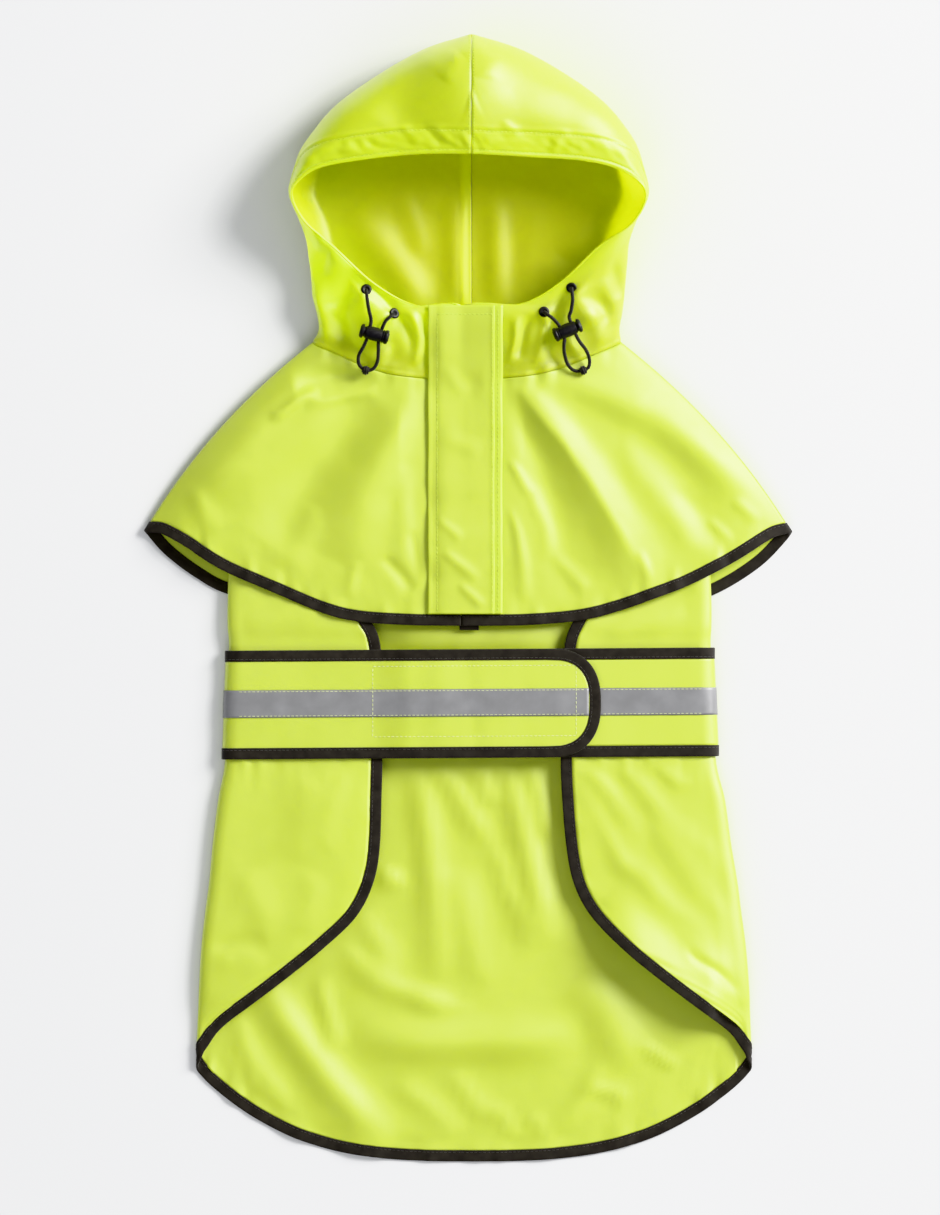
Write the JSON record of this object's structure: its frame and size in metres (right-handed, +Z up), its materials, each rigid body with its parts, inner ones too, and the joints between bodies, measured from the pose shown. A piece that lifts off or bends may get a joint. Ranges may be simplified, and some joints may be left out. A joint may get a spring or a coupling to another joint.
{
  "type": "dog raincoat laid flat",
  "caption": "Hooded dog raincoat laid flat on its back, with a short bound cape, placket, wrap-over belly band with reflective tape, side flaps and a rounded tail hem.",
  "frame": {"origin": "on the surface the coat lies on, at the middle of its outline", "axes": "+X across the coat, towards the wing of the belly band that lies underneath; +Y from the tail hem to the peak of the hood; +Z up from the surface"},
  "size_m": [0.481, 0.8332, 0.0654],
  "materials": {
    "cloth": "matt coated rain cloth",
    "binding": "matt woven binding",
    "reflective": "satin grey reflective tape",
    "plastic": "satin",
    "cord": "matt braid"
  },
  "bodies": {
    "root": {"hood_left": "cloth", "hood_right": "cloth", "cape_left": "cloth", "cape_right": "cloth", "cape_back": "cloth", "cape_binding": "binding", "body_back": "cloth", "body_left": "cloth", "body_right": "cloth", "body_binding": "binding", "band_left": "cloth", "band_right": "cloth", "band_left_binding": "binding", "band_right_binding_top": "binding", "band_right_binding_bottom": "binding", "reflective_left": "reflective", "reflective_right": "reflective", "placket": "cloth", "placket_underlap": "cloth", "hem_tab": "binding", "eyelet_1": "plastic", "eyelet_2": "plastic", "eyelet_3": "plastic", "eyelet_4": "plastic", "cord_left": "cord", "cord_right": "cord", "cord_lock_left": "plastic", "cord_lock_right": "plastic", "cord_knot_left": "cord", "cord_knot_right": "cord"}
  },
  "joints": []
}
